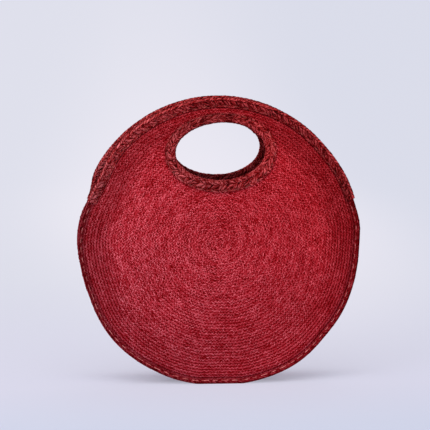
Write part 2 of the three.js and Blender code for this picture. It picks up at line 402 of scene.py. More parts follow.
def hole_xz(angle, outset, side):
    """Points round a hand hole, set out from its edge."""
    if side == BACK:
        outset = outset - BACK_HOLE_TIGHTER
    edge_x = HOLE_HALF_WIDTH * np.cos(angle)
    edge_z = HOLE_HALF_HEIGHT * np.sin(angle) * (1 + HOLE_EGG * np.cos(angle))
    out_x = HOLE_HALF_HEIGHT * (np.cos(angle) + HOLE_EGG * np.cos(2 * angle))
    out_z = HOLE_HALF_WIDTH * np.sin(angle)
    length = np.hypot(out_x, out_z)
    flat_x = edge_x + outset * out_x / length
    flat_z = edge_z + outset * out_z / length
    x, z = turned(flat_x, flat_z, HOLE_TILT)
    shift_x, shift_z = BACK_HOLE_SHIFT if side == BACK else (0, 0)
    return x + shift_x, HOLE_CENTRE_HEIGHT + z + shift_z


def in_hole(x, z, outset):
    """Whether points lie inside the hand hole's edge, set out by this much."""
    across, up = turned(x, z - HOLE_CENTRE_HEIGHT, -HOLE_TILT)
    return (across / (HOLE_HALF_WIDTH + outset)) ** 2 + (up / (HOLE_HALF_HEIGHT + outset)) ** 2 < 1


def hole_length(turn, longer):
    """The length of a line round a hand hole, longer than the hole's own edge by this factor."""
    return turn * math.sqrt((HOLE_HALF_WIDTH ** 2 + HOLE_HALF_HEIGHT ** 2) / 2) * longer


# Plaits

def uneven_strands(u):
    """Strand numbers along a plait, whose straws are not all as wide."""
    total = u
    for width, rate, phase in STRAND_WANDER:
        total = total + width * np.sin(rate * u + phase)
    return total


def plait_height(u, v, slant, lowest=STRAND_LOWEST):
    """The height from 0 to 1 of a plait whose columns of straw lean to and fro.
    u runs along it in strands and v across it in columns. lowest is its lowest strand's height."""
    column = np.floor(v)
    across = v - column
    lean = 1 - 2 * np.mod(column, 2)
    strand = u + lean * (across - 0.5) * slant + 0.5 * column
    number = np.floor(strand)
    part = strand - number
    heights = np.random.default_rng(STRAND_SEED).uniform(lowest, 1, STRAND_HEIGHTS)
    pick = np.mod(number * STRAND_PICKS[0] + column * STRAND_PICKS[1], STRAND_HEIGHTS)
    crown = 1 - np.abs(2 * part - 1) ** 3
    arch = 1 - (2 * across - 1) ** 4
    return heights[pick.astype(int)] * crown * (COLUMN_EDGE_HEIGHT + (1 - COLUMN_EDGE_HEIGHT) * arch)


# Meshes

# Steps from a grid's point to the four corners of the face that starts there
CORNER_STEPS = ((0, 0), (1, 0), (1, 1), (0, 1))


def put(name, data):
    """A new object in the scene."""
    item = bpy.data.objects.new(name, data)
    bpy.context.scene.collection.objects.link(item)
    return item


def mesh_piece(name, points, faces, weave, shade=None, clearness=None):
    """A smooth mesh. weave gives each face corner its place in the plait, shade each point's painted
    light and shade, and clearness how clearly the rows show there."""
    mesh = bpy.data.meshes.new(name)
    mesh.from_pydata(points.tolist(), [], faces)
    mesh.shade_smooth()
    corners = mesh.attributes.new("weave", "FLOAT_VECTOR", "CORNER")
    corners.data.foreach_set("vector", weave.astype(np.float32).ravel())
    rest = mesh.attributes.new("rest_place", "FLOAT_VECTOR", "POINT")
    rest.data.foreach_set("vector", points.astype(np.float32).ravel())
    even = np.ones(len(points))
    for word, values in (("dye_shade", shade), ("row_clearness", clearness)):
        layer = mesh.attributes.new(word, "FLOAT", "POINT")
        layer.data.foreach_set("value", (even if values is None else values).astype(np.float32).ravel())
    mesh.validate()
    mesh.update()
    return faces_out(put(name, mesh))


def faces_out(piece):
    """Turns every face of a closed piece outwards."""
    mesh = piece.data
    places = np.zeros(len(mesh.vertices) * 3)
    mesh.vertices.foreach_get("co", places)
    mesh.calc_loop_triangles()
    corners = np.zeros(len(mesh.loop_triangles) * 3, int)
    mesh.loop_triangles.foreach_get("vertices", corners)
    first, second, third = places.reshape(-1, 3)[corners.reshape(-1, 3).T]
    if np.einsum("ij,ij->i", first, np.cross(second, third)).sum() < 0:
        mesh.flip_normals()
    return piece


def tube_faces(weave_u, weave_v, weave_w):
    """Faces of a closed tube with flat ends, and the weave of their corners. Its points are a
    ring for each weave_u, which goes round along weave_v, with weave_w as its wear."""
    stations = len(weave_u)
    around = len(weave_v)
    grid = np.meshgrid(np.arange(stations - 1), np.arange(around), indexing="ij")
    row, column = (part.ravel() for part in grid)
    v_of = np.append(weave_v, 2 * weave_v[-1] - weave_v[-2])
    w_of = np.append(weave_w, weave_w[0])
    numbers = []
    places = []
    for down, on in CORNER_STEPS:
        numbers.append((row + down) * around + (column + on) % around)
        places.append(np.stack([weave_u[row + down], v_of[column + on], w_of[column + on]], axis=1))
    faces = np.stack(numbers, axis=1).tolist()
    weave = np.stack(places, axis=1).reshape(-1, 3)
    for end in (0, stations - 1):
        cap = [end * around + turn for turn in range(around)]
        faces.append(cap[::-1] if end == 0 else cap)
        flat = np.stack([np.full(around, weave_u[end]), weave_v, np.zeros(around)], axis=1)
        weave = np.vstack([weave, flat])
    return faces, weave


def tube_grid(name, points, weave_u, weave_v, weave_w=None, shade=None):
    """A closed solid from a grid of points: rows follow a path, and columns go round its section.
    weave_w is the wear of each column, and shade is the brightness of each point."""
    faces, weave = tube_faces(weave_u, weave_v, 0 * weave_v if weave_w is None else weave_w)
    return mesh_piece(name, points.reshape(-1, 3), faces, weave, shade)


def dress(piece, slot, material, *nodes):
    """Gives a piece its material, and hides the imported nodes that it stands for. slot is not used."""
    if nodes:
        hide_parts(*nodes)
    piece.data.materials.append(material)
    return piece


# The discs

def spiral_faces():
    """Faces of the spiral's grid as point numbers, with each corner's place in the plait.
    The inner end is welded to the middle point, and the outer end to the rim."""
    rings = (ROWS + 1) * ROW_SAMPLES + 1
    ring, step = np.meshgrid(np.arange(rings), np.arange(ROW_STEPS), indexing="ij")
    share = (ring / ROW_SAMPLES + step / ROW_STEPS - 1) / ROWS
    number = ring * ROW_STEPS + step
    middle = 0
    number = np.where(share <= 0, middle, number)
    number = np.where(share >= 1, (rings - 1) * ROW_STEPS + step, number)
    low_ring, low_step = np.meshgrid(np.arange(rings - 1), np.arange(ROW_STEPS), indexing="ij")
    wraps = low_step == ROW_STEPS - 1
    next_step = np.where(wraps, 0, low_step + 1)
    next_ring = np.minimum(low_ring + np.where(wraps, ROW_SAMPLES, 0), rings - 1)
    next_high = np.minimum(next_ring + 1, rings - 1)
    corners = np.stack([
        number[low_ring, low_step],
        number[next_ring, next_step],
        number[next_high, next_step],
        number[low_ring + 1, low_step],
    ], axis=-1).reshape(-1, 4)
    row = low_ring // ROW_SAMPLES
    across = (low_ring % ROW_SAMPLES) / ROW_SAMPLES
    places = []
    for on, up in CORNER_STEPS:
        along = math.pi * ROW_PITCH * (row + (low_step + on) / ROW_STEPS - 0.5) ** 2
        column = (across + up / ROW_SAMPLES) * PLAIT_COLUMNS
        places.append(np.stack([along / PLAIT_PITCH, column, 0 * across], axis=-1))
    return share, corners, np.stack(places, axis=-2).reshape(-1, 4, 3)


def face_lists(corners, weave):
    """Quads and triangles without repeated points, and their corners' weave in the same order."""
    faces = []
    kept = []
    different = [corners[:, side] != corners[:, (side + 1) % 4] for side in range(4)]
    whole = np.all(different, axis=0)
    faces.extend(corners[whole].tolist())
    kept.append(weave[whole].reshape(-1, 3))
    for place in np.flatnonzero(~whole):
        sides = [side for side in range(4) if different[side][place]]
        if len(sides) == 3:
            faces.append(corners[place, sides].tolist())
            kept.append(weave[place, sides])
    return faces, np.vstack(kept)


def open_edges(faces):
    """Edges that only one face uses, in that face's direction."""
    seen = {}
    for face in faces:
        for start, end in zip(face, face[1:] + face[:1]):
            seen[(start, end)] = True
    return [edge for edge in seen if (edge[1], edge[0]) not in seen]


def disc(side):
    """A spiral of sewn rows with its relief on both faces, walled round its rim and hand hole."""
    share, corners, weave = spiral_faces()
    angle = np.broadcast_to(np.arange(ROW_STEPS) * FULL_TURN / ROW_STEPS, share.shape)
    inside = np.clip(share, 0, 1)
    radius = inside * rim_radius(angle, side)
    x = radius * np.cos(angle)
    z = CENTRE_HEIGHT + radius * np.sin(angle)
    profile = np.array(ROW_PROFILE)[np.arange(len(share)) % ROW_SAMPLES][:, None]
    relief = ROW_RELIEF * profile * (inside > 0) * (inside < 1)
    outer = disc_point(x, z, side, relief).reshape(-1, 3)
    inner = disc_point(x, z, side, -THICKNESS - relief).reshape(-1, 3)
    quad_x = x.ravel()[corners].mean(axis=1)
    quad_z = z.ravel()[corners].mean(axis=1)
    keep = ~in_hole(quad_x, quad_z, HOLE_OPENED)
    faces, kept = face_lists(corners[keep], weave[keep])
    count = len(outer)
    inner_faces = [[point + count for point in face[::-1]] for face in faces]
    sizes = [len(face) for face in faces]
    starts = np.cumsum([0, *sizes[:-1]])
    inner_weave = np.vstack([kept[start:start + size][::-1] for start, size in zip(starts, sizes)])
    walls = [[end, start, start + count, end + count] for start, end in open_edges(faces)]
    wall_weave = np.zeros((4 * len(walls), 3))
    points = np.vstack([outer, inner])
    all_faces = faces + inner_faces + walls
    used = np.unique(np.concatenate([np.array(face) for face in all_faces]))
    renumber = np.full(len(points), -1)
    renumber[used] = np.arange(len(used))
    all_faces = [renumber[face].tolist() for face in all_faces]
    all_weave = np.vstack([kept, inner_weave, wall_weave])
    shade = np.tile(dye_shade(x, z, side).ravel(), 2)[used]
    clearness = np.tile(row_clearness(x, z, side).ravel(), 2)[used]
    word = WORDS[side]
    piece = mesh_piece(f"{word}_disc", points[used], all_faces, all_weave, shade, clearness)
    return dress(piece, "disc_straw", DISC_MATERIAL, f"{word}_panel", f"{word}_lip")


# The folded trims

def folded_path(reach):
    """The outer face of a trim folded over an edge, as distances, outsets, lifts and outward
    directions. It starts on the outer face, goes round the edge and ends on the inner face."""
    middle = THICKNESS / 2
    bend = middle + TRIM_STANDOFF
    flat = reach - middle
    total = 2 * flat + math.pi * bend
    distance = np.linspace(0, total, round(total / TRIM_STEP))
    turn = np.clip((distance - flat) / bend, 0, math.pi)
    first = np.maximum(flat - distance, 0)
    last = np.maximum(distance - flat - math.pi * bend, 0)
    outset = middle - bend * np.sin(turn) + first + last
    lift = bend * np.cos(turn) - middle
    return distance, outset, lift, -np.sin(turn), np.cos(turn)


def folded_trim(name, place, length, reach, wear_and_shading, lap=None, shade=None):
    """A plait folded over an edge. place(t, outset, lift) gives its points, t being the share of
    its length, wear_and_shading(outset, lift) is its wear and painted light and shade, lap(t)
    lifts it where it lies over its start, and shade(points) is its painted light and shade."""
    distance, outset, lift, out_way, lift_way = folded_path(reach)
    stations = round(length / TRIM_STEP)
    t = np.linspace(0, 1, stations)
    u = uneven_strands(t * length / TRIM_PITCH)
    v = (distance - TRIM_EDGE_STRIP) / TRIM_COLUMN + 1
    grid_u, grid_v = np.meshgrid(u, v, indexing="ij")
    over = np.zeros((stations, 1)) if lap is None else lap(t)[:, None]
    proud = TRIM_RELIEF * (plait_height(grid_u, grid_v, TRIM_SLANT) - 1) + over
    outer = place(t[:, None] + 0 * grid_v, outset + proud * out_way, lift + proud * lift_way)
    hidden = slice(None, None, TRIM_HIDDEN_SKIP)
    under = TRIM_THICKNESS - 2 * over
    inner_out = (outset - under * out_way)[:, hidden][:, ::-1]
    inner_lift = (lift - under * lift_way)[:, hidden][:, ::-1]
    inner = place(t[:, None] + 0 * inner_out, inner_out, inner_lift)
    points = np.concatenate([outer, inner], axis=1)
    inner_v = v[hidden][::-1]
    worn_and_painted = np.concatenate([wear_and_shading(outset, lift), 0 * inner_v])
    bright = None if shade is None else shade(points)
    piece = tube_grid(name, points, u, np.concatenate([v, inner_v]), worn_and_painted, bright)
    return dress(piece, "trim_plait", TRIM_MATERIAL, name.replace("plait", "trim"))


def mouth_end(side):
    """The angle at which a disc's rim passes the fold."""
    angle = np.linspace(0, math.pi / 2, 2000)
    height = CENTRE_HEIGHT + rim_radius(angle, side) * np.sin(angle)
    return float(angle[np.searchsorted(height, FOLD_HEIGHT)])


def mouth_trim(side):
    start = mouth_end(side) + MOUTH_TRIM_START
    end = math.pi - start
    length = (end - start) * (HALF_WIDTH + UPPER_HEIGHT) / 2

    def place(t, outset, lift):
        return rim_point(start + t * (end - start), outset, lift, side)

    # Wear and a painted highlight on the fold, and a painted dark line along the fold's edge
    def wear_and_shading(outset, lift):
        worn_and_painted = 1 - (1 - MOUTH_FACE_WEAR) * rise(outset, *MOUTH_WORN_AND_LIT_REACH)
        edge = bell(lift, -THICKNESS / 2, MOUTH_EDGE_WIDTH)
        return (worn_and_painted + 1) * (1 - MOUTH_EDGE_DARKER * edge) - 1

    # Painted light on the left, and darker towards the mouth's ends
    def shade(points):
        up = rise(points[..., 2], FOLD_HEIGHT, FOLD_HEIGHT + MOUTH_END_HEIGHT)
        left = rise(-points[..., 0], *MOUTH_LEFT_REACH)
        return (MOUTH_END_SHADE + (1 - MOUTH_END_SHADE) * up) * (1 + MOUTH_LEFT_BRIGHTER * left)

    name = f"{WORDS[side]}_mouth_plait"
    return folded_trim(name, place, length, MOUTH_TRIM_WIDTH - TRIM_STANDOFF, wear_and_shading, shade=shade)


def hole_trim(side):
    whole = FULL_TURN + LAP_LENGTH
    reach = HOLE_TRIM_WIDTH - TRIM_STANDOFF

    def place(t, outset, lift):
        angle = LAP_ANGLE - LAP_LENGTH / 2 + t * whole
        stretch = 1 - HOLE_TRIM_WIDER_BELOW * np.sin(angle) / reach
        flat = np.where(outset > 0, outset * stretch, outset)
        x, z = hole_xz(angle, TRIM_STANDOFF + flat, side)
        return disc_point(x, z, side, lift)

    def lap(t):
        return LAP_LIFT * rise(t * whole - FULL_TURN, *LAP_RISE)

    # Painted light and shade round the hole: lightest at the right, darkest at the top
    def shade(points):
        angle = np.arctan2(points[..., 2] - HOLE_CENTRE_HEIGHT, points[..., 0])
        one_side = HOLE_TRIM_BRIGHTER * np.cos(angle - HOLE_TRIM_BRIGHT_SIDE)
        return 1 + one_side + HOLE_TRIM_SIDES_BRIGHTER * np.cos(2 * angle)

    length = hole_length(whole, HOLE_TRIM_LONGER)
    return folded_trim(f"{WORDS[side]}_hole_plait", place, length, reach, outer_wear_and_inside_shade, lap, shade)


def outer_wear_and_inside_shade(outset, lift):
    """Even wear outside the bag. It falls to -1 inside, which straw() shows as painted shade."""
    return (HOLE_TRIM_WEAR + 1) * rise(lift, -THICKNESS - TRIM_THICKNESS, -TRIM_THICKNESS) - 1


def gusset_end_trim(word, hand):
    top = np.array((hand * (end_trim_low.x + end_trim_high.x) / 2, 0, end_trim_high.z))
    down = np.array((hand * math.sin(GUSSET_END_LEAN), 0, -math.cos(GUSSET_END_LEAN)))
    out = np.array((hand * math.cos(GUSSET_END_LEAN), 0, math.sin(GUSSET_END_LEAN)))
    half_depth = end_trim_high.y

    def place(t, outset, lift):
        base = top + down * TRIM_STANDOFF
        points = base + outset[..., None] * down + (lift + THICKNESS / 2)[..., None] * out
        points[..., 1] = points[..., 1] + (2 * t - 1) * half_depth
        return points

    reach = end_trim_high.z - end_trim_low.z - TRIM_STANDOFF
    return folded_trim(f"{word}_gusset_end_plait", place, 2 * half_depth, reach, outer_wear_and_inside_shade)


# The discs' outermost rows

def rim_row(side):
    """The outermost row of a disc, whose strands show along the bag's edge."""
    path = [
        (RIM_ROW_WIDTH, -RIM_ROW_TURN),
        (RIM_ROW_WIDTH - RIM_ROW_TURN / 2, RIM_ROW_LIFT),
        (RIM_ROW_TURN, RIM_ROW_LIFT),
        (0, RIM_ROW_LIFT - RIM_ROW_TURN),
        (0, -THICKNESS),
    ]
    distance, inset, height = even_steps(path, lambda length: round(length / TRIM_STEP))
    end = mouth_end(side)
    start = -math.pi - end
    steps = round((end - start) * HALF_WIDTH / TRIM_STEP / RIM_ROW_LONGER_STEP)
    angle = np.linspace(start, end, steps)
    u = uneven_strands((angle - start) * HALF_WIDTH / RIM_ROW_PITCH)
    v = distance / RIM_ROW_COLUMN
    grid_u, grid_v = np.meshgrid(u, v, indexing="ij")
    proud = RIM_ROW_RELIEF * (plait_height(grid_u, grid_v, RIM_ROW_SLANT, RIM_ROW_LOWEST) - 0.5)
    edge = RIM_ROW_RAGGED * (distance / distance[-1]) ** 3
    outward = np.clip(edge, 0, 1)
    around = angle[:, None]
    lift = height + (1 - outward) * proud
    outer = rim_point(around + 0 * proud, inset - edge * proud, lift, side)
    under_inset = np.linspace(*RIM_ROW_UNDER_INSETS, 4)
    under = rim_point(around + 0 * under_inset, 0 * around + under_inset, -THICKNESS / 2, side)
    points = np.concatenate([outer, under], axis=1)
    foot = downwards(angle) ** 3
    # Painted light at the foot and to the lower right, painted shade on the turned edge and foot's edge
    bright = 1 + RIM_FOOT_BRIGHTER * foot + RIM_RIGHT_BRIGHTER * low_right(angle)
    side_wall = np.concatenate([outward, 0 * under_inset])
    near_edge = bell(np.concatenate([inset, under_inset]), 0, RIM_FOOT_EDGE_WIDTH)
    foot_edge = np.outer(RIM_FOOT_EDGE_DARKER * foot ** 3, near_edge)
    shade = bright[:, None] * (1 - RIM_EDGE_DARKER * side_wall) * (1 - foot_edge)
    all_v = np.concatenate([v, v[-1] + 0 * under_inset])
    piece = tube_grid(f"{WORDS[side]}_rim_row", points, u, all_v, shade=shade)
    return dress(piece, "disc_straw", RIM_ROW_MATERIAL)


# The gusset

def gusset():
    """A strip of sewn rows between the discs, with its edges turned out along their flanges."""
    half = GUSSET_THICKNESS / 2
    flange_y = GUSSET_HALF_DEPTH - half
    bend = GUSSET_BEND
    bend_inset = FLANGE_WIDTH + half - bend
    path = [(GUSSET_EDGE_INSET, -flange_y), (bend_inset, -flange_y)]
    for step in range(1, GUSSET_BEND_STEPS + 1):
        turn = step * math.pi / (2 * GUSSET_BEND_STEPS)
        path.append((bend_inset + bend * math.sin(turn), -flange_y + bend - bend * math.cos(turn)))
    path += [(inset, -y) for inset, y in path[::-1]]
    distance, inset, y = even_steps(path, lambda length: round(length / ROW_PITCH) * ROW_SAMPLES + 1)
    sample = np.arange(len(distance))
    along = unit(np.gradient(np.stack([inset, y], axis=1), axis=0))
    profile = np.array(ROW_PROFILE)[sample % ROW_SAMPLES]
    proud = half - ROW_RELIEF * (1 - profile) * GUSSET_RELIEF_SHARE
    outer = np.stack([inset - along[:, 1] * proud, y + along[:, 0] * proud], axis=1)
    inner = np.stack([inset + along[:, 1] * proud, y - along[:, 0] * proud], axis=1)[::-1]
    section = np.concatenate([outer, inner])
    end = math.asin((end_trim_high.z - CENTRE_HEIGHT - GUSSET_END_DROP) / HALF_WIDTH)
    angle = np.linspace(-math.pi - end, end, GUSSET_STEPS)[:, None]
    radius = np.minimum(rim_radius(angle, FRONT), rim_radius(angle, BACK)) - section[:, 0]
    x = radius * np.cos(angle)
    z = np.maximum(CENTRE_HEIGHT + radius * np.sin(angle), 0)
    points = np.stack([x, np.broadcast_to(section[:, 1], x.shape), z], axis=-1)
    u = (angle[:, 0] - angle[0, 0]) * HALF_WIDTH / PLAIT_PITCH
    v = sample / ROW_SAMPLES * PLAIT_COLUMNS
    # Painted shade on the turned-out flanges
    bright = 1 - (1 - GUSSET_EDGE_SHADE) * (section[:, 0] < FLANGE_WIDTH - bend / 2)
    shade = np.broadcast_to(bright, x.shape)
    piece = tube_grid("gusset_strip", points, u, np.concatenate([v, v[::-1]]), shade=shade)
    return dress(piece, "gusset_straw", GUSSET_MATERIAL, "gusset")


# The sewing

def stitches(name, point_at, from_t, to_t, length, sewing, material, shade_at=None):
    """Separate stitches along a path: each rises out of the straw and dips back into it. The
    name's length seeds their unevenness. shade_at gives how bright the thread is along the path."""
    stitch, space, thread = sewing
    count = round(length / (stitch + space))
    random = np.random.default_rng(len(name))
    around = np.arange(STITCH_SIDES) * FULL_TURN / STITCH_SIDES
    v = np.arange(STITCH_SIDES) / STITCH_SIDES * STITCH_WEAVE_ROUND
    points = []
    faces = []
    weave = []
    shade = []
    for place in range(count):
        middle = (place + 0.5) / count
        half = stitch / length / 2 * random.uniform(*STITCH_LENGTHS)
        share = np.linspace(middle - half, middle + half, STITCH_KNOTS)
        arch = 1 - np.linspace(-1, 1, STITCH_KNOTS) ** 2
        lift = -STITCH_DIP * thread + arch * random.uniform(*STITCH_RISES) * thread
        slip = random.uniform(-STITCH_SLIP, STITCH_SLIP) * thread
        line = point_at(from_t + share * (to_t - from_t), slip, lift)
        along = unit(np.gradient(line, axis=0))
        across = unit(np.cross(along, [0, 1, 0]))
        out = np.cross(across, along)
        flat = STITCH_FLATNESS * np.sin(around)
        ring = np.cos(around)[:, None] * across[:, None] + flat[:, None] * out[:, None]
        start = place * STITCH_KNOTS * STITCH_SIDES
        points.append((line[:, None] + thread * ring).reshape(-1, 3))
        u = place * STITCH_WEAVE_LENGTH + np.arange(STITCH_KNOTS)
        stitch_faces, stitch_weave = tube_faces(u, v, 0 * v)
        # The flat ends take the tone of the twist's groove
        stitch_weave[-2 * STITCH_SIDES:] = (u[0], 0, 0)
        faces += [[start + point for point in face] for face in stitch_faces]
        weave.append(stitch_weave)
        bright = 1.0 if shade_at is None else shade_at(from_t + middle * (to_t - from_t))
        shade.append(np.full(STITCH_KNOTS * STITCH_SIDES, bright))
    piece = mesh_piece(name, np.vstack(points), faces, np.vstack(weave), np.concatenate(shade))
    return dress(piece, "sewing_thread", material, name.replace("stitches", "thread"))


def seam_stitches(side):
    end = mouth_end(side) - SEAM_END_ANGLE
    start = -math.pi - end
    length = (end - start) * HALF_WIDTH

    def point_at(angle, slip, lift):
        inset = SEAM_INSET + SEAM_SHIFT * np.cos(angle)
        clear = SEAM_CLEAR_LIFT * bell(angle, *SEAM_CLEAR_PLACE)
        return rim_point(angle, inset + slip, lift + RIM_ROW_LIFT + clear, side)

    # Painted light and shade along the seam: brightest low on the right
    def shade_at(angle):
        return SEAM_DIM + (SEAM_BRIGHT - SEAM_DIM) * bell(angle, *SEAM_CLEAR_PLACE)

    name = f"{WORDS[side]}_seam_stitches"
    return stitches(name, point_at, start, end, length, SEAM_SEWING, SEAM_THREAD_MATERIAL, shade_at)


def mouth_trim_stitches(side):
    start = mouth_end(side) + MOUTH_STITCH_END_ANGLE
    end = math.pi - start
    inset = MOUTH_TRIM_WIDTH - TRIM_STANDOFF - MOUTH_STITCH_INSET

    length = (end - start) * HALF_WIDTH

    def point_at(angle, slip, lift):
        return rim_point(angle, inset + slip, lift + TRIM_FACE, side)

    name = f"{WORDS[side]}_mouth_trim_stitches"
    return stitches(name, point_at, start, end, length, TRIM_SEWING, TRIM_THREAD_MATERIAL)


def hole_trim_stitches(side):
    def point_at(angle, slip, lift):
        width = HOLE_TRIM_WIDTH - HOLE_TRIM_WIDER_BELOW * np.sin(angle)
        x, z = hole_xz(angle, width - HOLE_STITCH_INSET + slip, side)
        return disc_point(x, z, side, lift + TRIM_FACE)

    name = f"{WORDS[side]}_hole_trim_stitches"
    length = hole_length(FULL_TURN, HOLE_STITCH_LONGER)
    return stitches(name, point_at, 0, FULL_TURN, length, TRIM_SEWING, TRIM_THREAD_MATERIAL)


# Materials

# The dark lines between rows, in columns of plait, their breaks and the rows' tones, in strands,
# and how much calmer the plait is where the lines show well
ROW_LINE_WIDTH = 0.5
ROW_LINE_FAINT = 0.25
ROW_LINE_STRONG = 0.75
ROW_DASH_LENGTH = 2.0
ROW_DASHES = (0.4, 1.6)
ROW_TONE = 0.15
ROW_TONE_LENGTH = 9
PLAIT_CALMER = 0.3

# How unevenly wide the strands of a disc's plait are, and how often that changes
STRAND_JITTER = 2.4
STRAND_JITTER_RATE = 0.45

# How much of the colour's green and blue is left low on the left, and high on the right: painted
# light and shade in the hue, pinker low on the left and deeper red to the shaded upper right
PINKER_LOW_LEFT = 1.38
DEEPER_HIGH_RIGHT = 0.6
DEEPER_REACH = 0.3
DEEPER_WAY = (0.6, 0.8)

# Patches of dye and of wear, in noise sizes and in the least and most that they change
DYE_PATCHES = (14.0, 3.0)
DYE_CHANGE = (0.94, 1.06)
WEAR_PATCHES = (90.0, 2.0)
WEAR_CHANGE = (-0.3, 0.3)
THREAD_PATCHES = (300.0, 2.0)

# Where most values of the noise lie, and those that make the breaks in a line
NOISE_REACH = (0.3, 0.7)
DASH_REACH = (0.35, 0.65)


class Nodes:
    """Builds a material's or a world's node tree, with numbers or sockets as inputs."""

    def __init__(self, name, kind="materials"):
        self.owner = getattr(bpy.data, kind).new(name)
        self.owner.use_nodes = True
        self.tree = self.owner.node_tree
        self.shader = self.tree.nodes.get("Principled BSDF")

    def add(self, kind, **settings):
        node = self.tree.nodes.new(kind)
        for key, value in settings.items():
            setattr(node, key, value)
        return node

    def feed(self, socket, value):
        if isinstance(value, bpy.types.NodeSocket):
            self.tree.links.new(value, socket)
        else:
            socket.default_value = value

    def fed(self, kind, *values, **settings):
        """A new node whose first inputs are these values."""
        node = self.add(kind, **settings)
        for socket, value in zip(node.inputs, values):
            self.feed(socket, value)
        return node

    def math(self, operation, first, second=0.0, third=0.0):
        return self.fed("ShaderNodeMath", first, second, third, operation=operation).outputs[0]

    def product(self, first, second):
        return self.math("MULTIPLY", first, second)

    def scaled(self, value, scale, shift):
        """The value times the scale, plus the shift."""
        return self.math("MULTIPLY_ADD", value, scale, shift)

    def attribute(self, name, output="Fac"):
        return self.add("ShaderNodeAttribute", attribute_name=name).outputs[output]

    def split(self, attribute):
        """The three numbers of an attribute."""
        return self.fed("ShaderNodeSeparateXYZ", self.attribute(attribute, "Vector")).outputs

    def join(self, x, y, z):
        return self.fed("ShaderNodeCombineXYZ", x, y, z).outputs[0]

    def noise(self, vector, scale, detail):
        node = self.add("ShaderNodeTexNoise")
        self.feed(node.inputs["Vector"], vector)
        node.inputs["Scale"].default_value = scale
        node.inputs["Detail"].default_value = detail
        return node.outputs["Fac"]

    def noise_along(self, value, row):
        """Noise that changes along one value. Each row of it is different."""
        return self.noise(self.join(value, row, 0.0), 1.0, 1.0)

    def random(self, x, y, row):
        node = self.add("ShaderNodeTexWhiteNoise", noise_dimensions="3D")
        self.feed(node.inputs["Vector"], self.join(x, y, row))
        return node.outputs["Value"]

    def spread(self, value, low, high, new_low, new_high):
        return self.fed("ShaderNodeMapRange", value, low, high, new_low, new_high).outputs[0]

    def ramp(self, value, stops):
        node = self.fed("ShaderNodeValToRGB", value)
        elements = node.color_ramp.elements
        while len(elements) < len(stops):
            elements.new(0.5)
        for element, (place, colour) in zip(elements, stops):
            element.position = place
            element.color = colour
        return node.outputs[0]

    def mix(self, share, first, second):
        node = self.add("ShaderNodeMix", data_type="RGBA")
        for name, value in (("Factor", share), ("A", first), ("B", second)):
            self.feed(node.inputs[name], value)
        return node.outputs["Result"]

    def dimmed(self, colour, value):
        """A colour made darker or lighter by a number."""
        node = self.add("ShaderNodeVectorMath", operation="SCALE")
        self.feed(node.inputs[0], colour)
        self.feed(node.inputs["Scale"], value)
        return node.outputs[0]

    def times(self, first, second):
        """Two colours multiplied, each part by its own."""
        return self.fed("ShaderNodeVectorMath", first, second, operation="MULTIPLY").outputs[0]

    def patch(self, first, second, middle, size, edge=1.0):
        """1 in the middle of an oval patch, falling to 0 round it, more sharply for a higher edge."""
        squares = []
        for value, place, reach in zip((first, second), middle, size):
            off = self.math("DIVIDE", self.math("SUBTRACT", value, place), reach)
            squares.append(self.product(off, off))
        away = self.math("POWER", self.math("ADD", *squares), edge)
        return self.math("EXPONENT", self.product(away, -1.0))

    def seen(self):
        """1 for what the camera, a reflection or glass sees, and 0 for light that falls on things."""
        path = self.add("ShaderNodeLightPath")
        seen = self.math("MAXIMUM", path.outputs["Is Camera Ray"], path.outputs["Is Glossy Ray"])
        return self.math("MAXIMUM", seen, path.outputs["Is Transmission Ray"])

    def blend(self, share, first, second, output):
        """Two shaders mixed into the tree's output."""
        node = self.fed("ShaderNodeMixShader", share, first, second)
        self.feed(self.tree.nodes[output].inputs["Surface"], node.outputs[0])

    def finish(self, colour, roughness, gloss):
        """The shader's colour, roughness and gloss."""
        self.feed(self.shader.inputs["Base Color"], colour)
        self.feed(self.shader.inputs["Roughness"], roughness)
        self.shader.inputs["Specular IOR Level"].default_value = gloss
        return self.owner

    def bump(self, height, distance):
        node = self.add("ShaderNodeBump")
        self.feed(node.inputs["Height"], height)
        node.inputs["Distance"].default_value = distance
        self.feed(self.shader.inputs["Normal"], node.outputs[0])


def plait_pattern(nodes, slant, fibres, thin, uneven):
    """Sockets for a plait: each strand's random number, each fibre's, each gap's depth, and the
    strands' height. fibres says how many there are in a strand and how often each comes up in a
    column, thin how far the strands stand apart, and uneven whether their widths differ."""
    u, v, _ = nodes.split("weave")
    if uneven:
        wander = nodes.noise_along(nodes.product(u, STRAND_JITTER_RATE), 7.0)
        u = nodes.scaled(wander, STRAND_JITTER, u)
    column = nodes.math("FLOOR", v)
    across = nodes.math("FRACT", v)
    lean = nodes.scaled(nodes.math("MODULO", column, 2.0), -2.0, 1.0)
    shift = nodes.product(lean, nodes.scaled(across, slant, -0.5 * slant))
    strand = nodes.math("ADD", nodes.math("ADD", u, shift), nodes.product(column, 0.5))
    part = nodes.math("FRACT", strand)
    number = nodes.math("FLOOR", strand)
    chance = nodes.random(number, column, 0.5)
    gap = nodes.math("POWER", nodes.random(number, column, 7.5), 1.5)
    fibre_u = nodes.math("FLOOR", nodes.product(strand, fibres[0]))
    fibre_v = nodes.math("FLOOR", nodes.product(v, fibres[1]))
    fibre = nodes.random(fibre_u, fibre_v, 2.5)
    crown = nodes.math("POWER", nodes.math("SINE", nodes.product(part, math.pi)), thin)
    lying = nodes.scaled(across, 2.0, -1.0)
    arch = nodes.math("POWER", nodes.math("ABSOLUTE", lying), 4.0)
    height = nodes.product(crown, nodes.scaled(arch, -0.6, 1.0))
    return chance, fibre, gap, height


